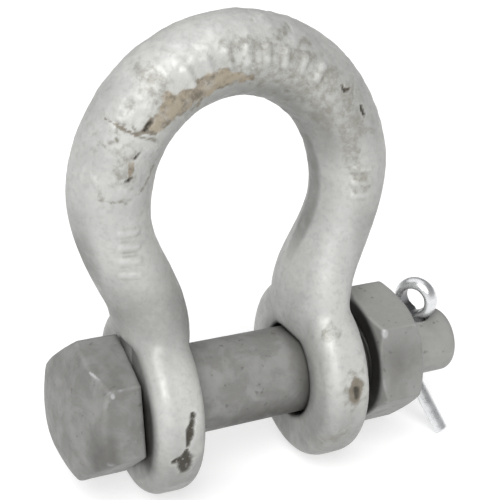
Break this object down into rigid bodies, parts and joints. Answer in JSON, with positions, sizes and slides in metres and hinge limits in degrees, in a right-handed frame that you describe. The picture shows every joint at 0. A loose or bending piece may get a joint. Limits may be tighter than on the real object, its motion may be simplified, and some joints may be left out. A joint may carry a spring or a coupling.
{
  "type": "bow shackle",
  "caption": "Forged bow shackle with flared ears, a hexagon-headed bolt, a nut and a split cotter pin. It joins ropes, chains and wires.",
  "frame": {"origin": "on the bolt's axis, midway between the two ears", "axes": "+X runs along the bolt from its head to the nut, +Z points from the bolt to the crown of the bow, and +Y is across"},
  "size_m": [0.1203, 0.052, 0.13],
  "materials": {
    "galvanised_bow": "hot-dip galvanised over a rough forging, pale grey, lumpy and pitted, with tan rust stains",
    "bolt_steel": "dull warm grey galvanised steel, matte, finely mottled",
    "nut_steel": "dull warm grey galvanised steel, matte, worn bright on its edges",
    "cotter_wire": "bright zinc-plated half-round wire"
  },
  "bodies": {
    "bow": {"bow": "galvanised_bow"},
    "nut": {"nut": "nut_steel"},
    "bolt": {"bolt": "bolt_steel"},
    "cotter": {"cotter_pin": "cotter_wire"}
  },
  "joints": [
    {"name": "pin_turn", "type": "hinge", "parent": "bow", "child": "nut", "pos_m": [0, 0, 0], "axis": [1, 0, 0], "continuous": true},
    {"name": "bolt_withdraw", "type": "slide", "parent": "nut", "child": "bolt", "axis": [1, 0, 0], "range_m": [-0.105, 0]},
    {"name": "cotter_pull", "type": "slide", "parent": "nut", "child": "cotter", "axis": [0, 0, 1], "range_m": [0, 0.045], "deforming": ["cotter_pin"]}
  ]
}
